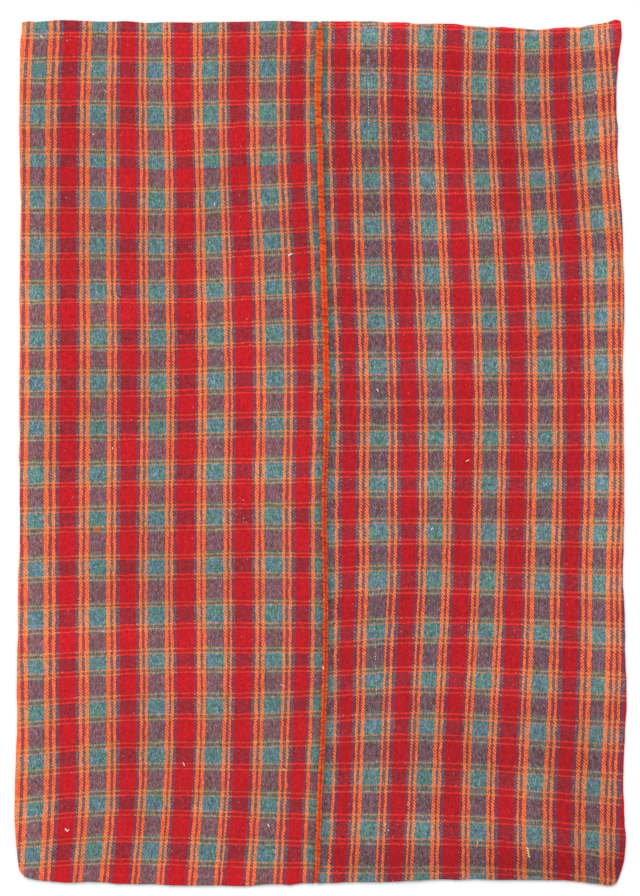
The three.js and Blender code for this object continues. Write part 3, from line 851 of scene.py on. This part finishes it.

    # painted shade between the threads, heathered wool, and slow changes over the cloth
    gap_shade = g.span(high, 0.1, 1.7, 0.66, 1.10)
    wool = g.noise(uv.outputs[0], 420, 2, 0.6, "2D")
    heather = g.span(wool, 0.25, 0.75, 0.80, 1.20)
    broad = g.noise(uv.outputs[0], 5.5, 2, 0.5, "2D")
    tone = g.math("MULTIPLY", gap_shade, heather)
    tone = g.math("MULTIPLY", tone, g.span(broad, 0.25, 0.75, 0.94, 1.06))
    # the map 'tone' brings the painted light and shade of the cloth's face
    painted_light_map = g.nt.nodes.new("ShaderNodeUVMap")
    painted_light_map.uv_map = "tone"
    sep = g.nt.nodes.new("ShaderNodeSeparateXYZ")
    g.put(sep.inputs[0], painted_light_map.outputs[0])
    tone = g.math("MULTIPLY", tone, sep.outputs[0])
    # painted orange reflection from the seam on the cloth beside it: green and blue are lowered there
    colour = g.mix(sep.outputs[1], colour, g.mix(1.0, colour, (1.06, 0.72, 0.66), "MULTIPLY"))
    colour = g.scaled(colour, tone)
    g.put(g.shader.inputs["Base Color"], colour)
    g.put(g.shader.inputs["Roughness"], g.span(wool, 0.2, 0.8, 0.84, 0.98))
    g.shader.inputs["Specular IOR Level"].default_value = 0.22
    g.shader.inputs["Sheen Weight"].default_value = 0.10
    g.shader.inputs["Sheen Roughness"].default_value = 0.5
    g.shader.inputs["Sheen Tint"].default_value = (1.0, 0.88, 0.80, 1)

    relief = g.math("MULTIPLY_ADD", wool, 0.5, high)
    bump = g.nt.nodes.new("ShaderNodeBump")
    bump.inputs["Strength"].default_value = 0.55
    bump.inputs["Distance"].default_value = 0.00028
    g.put(bump.inputs["Height"], relief)
    g.put(g.shader.inputs["Normal"], bump.outputs[0])
    return g.mat



def yarn_material(name, dark, mid, light, twist=900.0):
    """Spun thread: the map 'thread' runs along it (x) and round it (y), 'yarn' gives its shade."""
    g = Graph(name)
    uv = g.nt.nodes.new("ShaderNodeUVMap")
    uv.uv_map = "thread"
    num = g.nt.nodes.new("ShaderNodeUVMap")
    num.uv_map = "yarn"
    a = g.nt.nodes.new("ShaderNodeSeparateXYZ")
    g.put(a.inputs[0], uv.outputs[0])
    b = g.nt.nodes.new("ShaderNodeSeparateXYZ")
    g.put(b.inputs[0], num.outputs[0])
    # two plies, laid round each other
    lay = g.math("SINE", g.math("ADD", g.math("MULTIPLY", a.outputs[0], twist * 2 * PI / 1.0),
                                g.math("MULTIPLY", a.outputs[1], 4 * PI)))
    fibre = g.noise(g.join(g.math("MULTIPLY", a.outputs[0], 1500.0),
                           g.math("MULTIPLY", a.outputs[1], 6.0),
                           g.math("MULTIPLY", b.outputs[0], 617.0)), 1.0, 2, 0.6)
    colour = g.mix(b.outputs[0], mid, light)
    colour = g.mix(b.outputs[1], colour, dark)
    tone = g.math("MULTIPLY", g.span(lay, -1.0, -0.2, 0.88, 1.0), g.span(fibre, 0.25, 0.75, 0.92, 1.14))
    g.put(g.shader.inputs["Base Color"], g.scaled(colour, tone))
    g.put(g.shader.inputs["Roughness"], g.span(fibre, 0.2, 0.8, 0.80, 0.96))
    g.shader.inputs["Specular IOR Level"].default_value = 0.25
    g.shader.inputs["Sheen Weight"].default_value = 0.12
    g.shader.inputs["Sheen Roughness"].default_value = 0.5
    g.shader.inputs["Sheen Tint"].default_value = (1.0, 0.85, 0.75, 1)
    bump = g.nt.nodes.new("ShaderNodeBump")
    bump.inputs["Strength"].default_value = 0.6
    bump.inputs["Distance"].default_value = 0.0002
    g.put(bump.inputs["Height"], g.math("MULTIPLY_ADD", fibre, 0.5, lay))
    g.put(g.shader.inputs["Normal"], bump.outputs[0])
    return g.mat


# ---- threads as tubes --------------------------------------------------------------------
class Tubes:
    """Many short tubes, gathered into one mesh."""

    def __init__(self):
        self.points, self.faces, self.thread, self.yarn, self.cell = [], [], [], [], []
        self.count = 0
        self.pieces = 0

    def add(self, path, radius, number, dark, sides=6, squash=1.0):
        """path n x 3 in mm, radius a number or n of them; closed at both ends."""
        path = np.asarray(path, float)
        n = len(path)
        radius = np.broadcast_to(np.asarray(radius, float), (n,))
        dark = np.broadcast_to(np.asarray(dark, float), (n,))
        number = np.broadcast_to(np.asarray(number, float), (n,))
        go = np.gradient(path, axis=0)
        go /= np.maximum(np.linalg.norm(go, axis=1, keepdims=True), 1e-9)
        side = np.cross(go, np.array([0.0, 0.0, 1.0]))
        bad = np.linalg.norm(side, axis=1) < 1e-3
        side[bad] = np.array([1.0, 0.0, 0.0])
        side /= np.linalg.norm(side, axis=1, keepdims=True)
        up = np.cross(side, go)
        ang = np.arange(sides) * 2 * PI / sides
        ring = (
            path[:, None]
            + radius[:, None, None] * (np.cos(ang)[None, :, None] * side[:, None]
                                       + squash * np.sin(ang)[None, :, None] * up[:, None])
        )
        base = self.count
        self.points.append(ring.reshape(-1, 3))
        self.points.append(path[[0, -1]])
        tip0, tip1 = base + n * sides, base + n * sides + 1
        self.count += n * sides + 2
        length = np.concatenate([[0], np.cumsum(np.linalg.norm(np.diff(path, axis=0), axis=1))])
        ends = length[-1] if length[-1] > 0 else 1.0
        for k in range(n - 1):
            for m in range(sides):
                m2 = (m + 1) % sides
                self.faces.append((base + k * sides + m, base + k * sides + m2,
                                   base + (k + 1) * sides + m2, base + (k + 1) * sides + m))
                self.thread.append(((length[k], m / sides), (length[k], (m + 1) / sides),
                                    (length[k + 1], (m + 1) / sides), (length[k + 1], m / sides)))
                self.yarn.append(((number[k], dark[k]), (number[k], dark[k]),
                                  (number[k + 1], dark[k + 1]), (number[k + 1], dark[k + 1])))
                self.cell.append(tuple(
                    (self.pieces, 0.06 + 0.88 * length[kk] / ends, mm / sides)
                    for kk, mm in ((k, m), (k, m + 1), (k + 1, m + 1), (k + 1, m))))
        for m in range(sides):
            m2 = (m + 1) % sides
            self.faces.append((tip0, base + m2, base + m))
            self.thread.append(((0, 0.5), (0, m2 / sides), (0, m / sides)))
            self.yarn.append(((number[0], dark[0]),) * 3)
            self.cell.append(((self.pieces, 0.0, (m + 0.5) / sides),
                              (self.pieces, 0.06, (m + 1) / sides), (self.pieces, 0.06, m / sides)))
            last = base + (n - 1) * sides
            self.faces.append((tip1, last + m, last + m2))
            self.thread.append(((ends, 0.5), (ends, m / sides), (ends, m2 / sides)))
            self.yarn.append(((number[-1], dark[-1]),) * 3)
            self.cell.append(((self.pieces, 1.0, (m + 0.5) / sides),
                              (self.pieces, 0.94, m / sides), (self.pieces, 0.94, (m + 1) / sides)))
        self.pieces += 1

    def finish(self, name, material, long=()):
        """The mesh, with each tube in its own cell of a square layout."""
        points = np.concatenate(self.points) * MM
        me = bpy.data.meshes.new(name)
        me.from_pydata(points.tolist(), [], self.faces)
        me.polygons.foreach_set("use_smooth", np.ones(len(me.polygons), bool))
        flat = lambda rows: np.array([c for row in rows for c in row], float)
        thread = flat(self.thread)
        thread[:, 0] *= MM
        me.uv_layers.new(name="thread").data.foreach_set("uv", thread.astype(np.float32).ravel())
        me.uv_layers.new(name="yarn").data.foreach_set("uv", flat(self.yarn).astype(np.float32).ravel())
        cell = flat(self.cell)
        wide = max(1, math.ceil(math.sqrt(self.pieces)))
        high = max(1, math.ceil(self.pieces / wide))
        col, row = cell[:, 0] % wide, cell[:, 0] // wide
        a = (col + 0.04 + 0.92 * cell[:, 1]) / wide
        b = (row + 0.04 + 0.92 * cell[:, 2]) / high
        me.uv_layers.new(name="OFBake").data.foreach_set("uv", np.stack([a, b], -1).astype(np.float32).ravel())
        me.materials.append(material)
        me.update(calc_edges=True)
        ob = bpy.data.objects.new(name, me)
        bpy.context.scene.collection.objects.link(ob)
        return ob


def cloth_top(x, y):
    """Height of the cloth's face at a point, by the nearer strip."""
    x, y = np.atleast_1d(np.asarray(x, float)), np.atleast_1d(np.asarray(y, float))
    lift = np.maximum(ridges_at(x, y), 0)
    seam = curve(SEAM_LINE, 1, 0, y)
    near = np.minimum(np.abs(x - seam), np.minimum(626 - np.abs(x), 890 - np.abs(y)))
    lift = lift * smooth((near - 22) / EDGE_CALM)
    return lift + pucker(x, y) * smooth(near / 30) + CLOTH + 0.95 * smooth(1 - (np.abs(x - seam) - 3) / 15)


# ---- the blanket -----------------------------------------------------------------------------
panel_left = make_strip("cloth_left", STRIPS["left"],
                        wool_cloth("wool twill left", STRIPS["left"], LEFT_ENDS, LEFT_PICKS))
panel_right = make_strip("cloth_right", STRIPS["right"],
                         wool_cloth("wool twill right", STRIPS["right"], RIGHT_ENDS, RIGHT_PICKS))


def make_seam():
    """Overcast stitches of doubled thread over the rolled edges of both strips."""
    rng = np.random.default_rng(5)
    tubes = Tubes()
    y = SEAM_LINE[0][1] + 2.4
    top = SEAM_LINE[-1][1] - 1.6
    # the rolled edges inside, in lengths that follow the line, in the seam thread darkened as painted shade in
    # the gaps between the stitches
    core_y = np.linspace(SEAM_LINE[0][1] + 0.6, SEAM_LINE[-1][1] - 0.6, 150)
    core_x = curve(SEAM_LINE, 1, 0, core_y)
    core_w = curve(SEAM_LINE, 1, 2, core_y)
    tubes.add(np.stack([core_x, core_y, np.full_like(core_y, 1.8)], -1), core_w / 2 - 0.1,
              0.2, 0.45, sides=10, squash=0.62)
    while y < top:
        upper = smooth(np.array((y + 20) / 120.0)).item()       # fuller towards the head
        crown = smooth(np.array((y - 640) / 170.0)).item()      # and brightest at the head end
        cx = float(curve(SEAM_LINE, 1, 0, y)) - 0.5 * upper + 0.6 * (1 - upper) + rng.normal(0, 0.3)
        cx += 1.0 * np.exp(-(((y - 500) / 80) ** 2)) - 0.5 * crown
        half = 4.65 + 1.15 * upper + 0.75 * crown + rng.normal(0, 0.4)
        if rng.uniform() < 0.10:
            half += rng.uniform(0.6, 1.4)
        slant = 0.9 + rng.normal(0, 0.6)
        rise = 3.15 + 0.35 * upper + rng.normal(0, 0.14)
        light = clamp01(0.04 + 0.16 * upper + 0.42 * crown + rng.normal(0, 0.30))
        line = clamp01(0.95 - 0.50 * upper - 0.15 * crown + rng.normal(0, 0.12))
        for strand in (-1, 1):
            thick = 1.10 + 0.10 * upper + rng.normal(0, 0.07)
            th = np.linspace(PI * 1.05, -PI * 0.05, 11)
            px = cx + half * np.cos(th) + rng.normal(0, 0.15)
            off = (px - cx - 0.12 * half) / (0.25 * half)
            dip = np.exp(-off * off)
            pz = 1.45 + (rise - 1.45) * np.sign(np.sin(th)) * np.abs(np.sin(th)) ** 0.55
            pz = pz - dip * 0.85 * line
            py = y + strand * 1.02 - slant * np.cos(th) + rng.normal(0, 0.1)
            # painted shade in the dip along the middle of the seam, and a little darker towards the foot
            dark = clamp01(line * 1.0 * dip + 0.06 * (1 - upper) + rng.normal(0, 0.05))
            rim = (np.abs(px - cx) / half) ** 2 * 0.35
            # a strand that lies deeper, darkened with painted shade
            if rng.uniform() < 0.16:
                dark = clamp01(dark + rng.uniform(0.3, 0.6))     # a strand that lies deeper
                pz = pz - 0.35
            tubes.add(np.stack([px, py, pz], -1), thick, clamp01(light + rng.normal(0, 0.25) + rim), dark,
                      sides=6, squash=0.9)
        y += 4.30 + abs(rng.normal(0, 0.5))
    return tubes.finish("seam_stitches", yarn_material(
        "seam thread", (0.24, 0.004, 0.002), (1.0, 0.066, 0.006), (1.0, 0.20, 0.022)))


join_seam = make_seam()

# ---- small things on the face --------------------------------------------------------------------
# lint and slubs caught in the cloth: x, y of both ends, radius, tint from white to pink
LINT = [
    (-580.5, 865.5, -575, 861, 1.24, 0.10), (-473, 660.5, -469.5, 660.5, 1.00, 0.30),
    (-473.5, 467.5, -472, 467, 1.00, 0.60), (-449, 753.5, -444, 748.5, 0.53, 0.20),
    (-219.5, 518.5, -220, 513, 0.91, 0.10), (-66.5, 408.5, -63, 411, 1.91, 0.15),
    (-62.5, 412, -59, 413, 1.58, 0.25), (569.5, 748, 573, 746, 1.24, 0.10), (-431.5, 11.5, -431, 7, 1.24, 0.70),
    (-392.5, 68.5, -391.5, 68.5, 0.91, 0.50), (116.5, 132.5, 120.5, 127, 1.03, 0.25),
    (302, -18, 308, -15, 1.08, 0.55), (229.5, -160.5, 233, -156, 1.00, 0.10),
    (-529.5, -780, -524, -785.5, 1.41, 0.10), (-523, -783, -522, -781, 1.16, 0.60),
    (-284.5, -643, -281.5, -649.5, 1.08, 0.35), (-83.5, -479.5, -73.5, -485.5, 0.60, 0.60),
    (-78, -655.5, -73.5, -659, 1.16, 0.15), (-109.5, -770.5, -105.5, -776, 1.00, 0.20),
    (140.5, -783.5, 142, -783.5, 1.24, 0.10), (326, -806, 326, -810.5, 0.70, 0.20),
    (14, 63.5, 15, 62.5, 1.33, 0.05), (5.5, -443, 6, -448.5, 1.41, 0.05),
    (-498.5, 720.5, -496.5, 718.5, 0.66, 0.30), (-526.5, 856, -524.5, 854.5, 0.83, 0.60),
    (-133.5, 233.5, -132, 233, 0.75, 0.30), (-153.5, 278.5, -152, 277.5, 0.66, 0.40),
]
DARNS = [   # an orange thread's path, its radius and shade
    ([(-459.0, -158.5), (-459.5, -161.0), (-461.0, -161.5), (-464.0, -162.0), (-467.0, -161.5), (-468.5, -161.0), (-468.5, -158.5), (-468.5, -156.0), (-467.0, -155.0), (-464.0, -155.0), (-461.0, -155.0), (-459.5, -156.0), (-459.0, -158.5)], 1.35, 0.35),
    ([(-467.5, -157.0), (-464.0, -157.5), (-460.0, -156.5)], 1.25, 0.25),
    ([(445.5, 252.5), (449.0, 253.0), (453.0, 251.5)], 1.55, 0.45),
    ([(445.5, 250.0), (450.5, 250.0), (455.0, 248.5)], 1.55, 0.45),
    ([(445.5, 246.5), (450.5, 246.5), (454.5, 245.5)], 1.55, 0.45),
    ([(446.0, 243.5), (449.0, 243.5), (452.5, 243.0)], 1.55, 0.45),
    ([(447.0, 241.0), (449.5, 241.0)], 1.55, 0.45),
]
BASTING = [   # short cream stitches: both ends
    (427, -818.5, 432, -823),
    (428, -824, 433, -828.5),
    (429, -829.5, 434, -833.5),
    (430, -835, 435, -839),
]
# pale threads that show as rows of dots: x at the head end, x at the foot end, y from, y to, share shown
DOTS = [
    (92, 92.2, 778.5, 761.9, 1),
    (98.8, 99, 778.5, 761.9, 1),
    (105.3, 105.5, 778.5, 761.9, 1),
    (98.6, 98.8, 835.5, 779.5, 0.6),
    (99.4, 100.3, 760.8, 653, 0.75),
    (112.3, 116, -352.9, -500.1, 0.8),
    (-159.8, -159.4, -97.8, -139.3, 0.5),
]


def make_threads(name, way):
    """What lies on one strip: slubs, darns and the ends of pale threads."""
    rng = np.random.default_rng(44 if way < 0 else 45)
    tubes = Tubes()
    mine = lambda x, y: (x - float(curve(SEAM_LINE, 1, 0, y))) * way > 0

    def lay(points, radius, shade, dark, sink=0.35, squash=0.7, sides=6):
        pts = np.array(points, float)
        z = cloth_top(pts[:, 0], pts[:, 1])
        on_seam = np.abs(pts[:, 0] - curve(SEAM_LINE, 1, 0, pts[:, 1])) < 5
        z = np.where(on_seam, 4.1, z) + np.asarray(radius) * sink
        tubes.add(np.column_stack([pts, z]), radius, shade, dark, sides=sides, squash=squash)

    for x0, y0, x1, y1, r, tint in LINT:
        if mine(x0, y0):
            f = np.array([-0.12, 0.15, 0.4, 0.7, 0.95, 1.12])
            bend = rng.normal(0, 0.25, 6) * r
            px = x0 + (x1 - x0) * f + bend
            py = y0 + (y1 - y0) * f - bend
            lay(np.column_stack([px, py]), r * np.array([0.35, 0.85, 1.0, 1.0, 0.8, 0.3]), 1 - tint, 0.0)
    for path, r, shade in DARNS:
        if mine(*path[0]):
            lay(path, r, 0.5, 1.0 - 0.15 * shade, sink=0.2)
    for x0, y0, x1, y1 in BASTING:
        if mine(x0, y0):
            f = np.linspace(0, 1, 5)
            lay(np.column_stack([x0 + (x1 - x0) * f, y0 + (y1 - y0) * f]),
                1.5 * np.array([0.6, 1, 1, 1, 0.6]), 0.15, 0.0, sink=0.3)
    for x0, x1, y0, y1, share in DOTS:
        if mine(x0, y0):
            y = y0
            while y > y1:
                if rng.uniform() < share:
                    x = x0 + (x1 - x0) * (y0 - y) / (y0 - y1) + rng.normal(0, 0.15)
                    yy = y + rng.normal(0, 0.3)
                    lay([(x, yy + 1.5), (x, yy + 0.6), (x, yy - 0.6), (x, yy - 1.5)],
                        0.62 * np.array([0.5, 1, 1, 0.5]), rng.uniform(0.2, 0.9), 0.0, sink=0.1)
                y -= 6.3
    return tubes.finish(name, yarn_material(
        name, (0.80, 0.105, 0.008), (0.92, 0.56, 0.22), (0.90, 0.88, 0.85), twist=500.0))


threads_left = make_threads("loose_threads_left", -1)
threads_right = make_threads("loose_threads_right", 1)

# ---- how the pieces are held --------------------------------------------------------------------
for ob, node in ((panel_left, "panel_left"), (panel_right, "panel_right")):
    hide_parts(node)
    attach(ob, "root")
for ob in (threads_left, threads_right):
    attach(ob, "root")
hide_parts("join_seam")
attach(join_seam, "root")

# ---- floor, light -------------------------------------------------------------------------------
floor_mesh = bpy.data.meshes.new("floor")
floor_mesh.from_pydata([(-14, -14, 0), (14, -14, 0), (14, 14, 0), (-14, 14, 0)], [], [(0, 1, 2, 3)])
floor = bpy.data.objects.new("floor", floor_mesh)
bpy.context.scene.collection.objects.link(floor)
floor.location.z = -0.0003
paper = bpy.data.materials.new("floor")
paper.use_nodes = True
paper.node_tree.nodes["Principled BSDF"].inputs["Base Color"].default_value = (0.97, 0.97, 0.97, 1)
paper.node_tree.nodes["Principled BSDF"].inputs["Roughness"].default_value = 0.9
paper.node_tree.nodes["Principled BSDF"].inputs["Specular IOR Level"].default_value = 0.1
floor_mesh.materials.append(paper)

world = bpy.data.worlds.new("studio")
bpy.context.scene.world = world
world.use_nodes = True
world.node_tree.nodes["Background"].inputs[0].default_value = (1, 1, 1, 1)
world.node_tree.nodes["Background"].inputs[1].default_value = 0.62

sun_data = bpy.data.lights.new("key", "SUN")
sun_data.energy = 2.35
sun_data.angle = math.radians(40)
sun = bpy.data.objects.new("key", sun_data)
bpy.context.scene.collection.objects.link(sun)
sun.rotation_euler = (math.radians(-52), math.radians(-18), 0)

bpy.context.scene.cycles.denoising_prefilter = "NONE"
view = bpy.context.scene.view_settings
view.view_transform = "Standard"
view.look = "None"
view.exposure = 0.0
view.gamma = 1.0
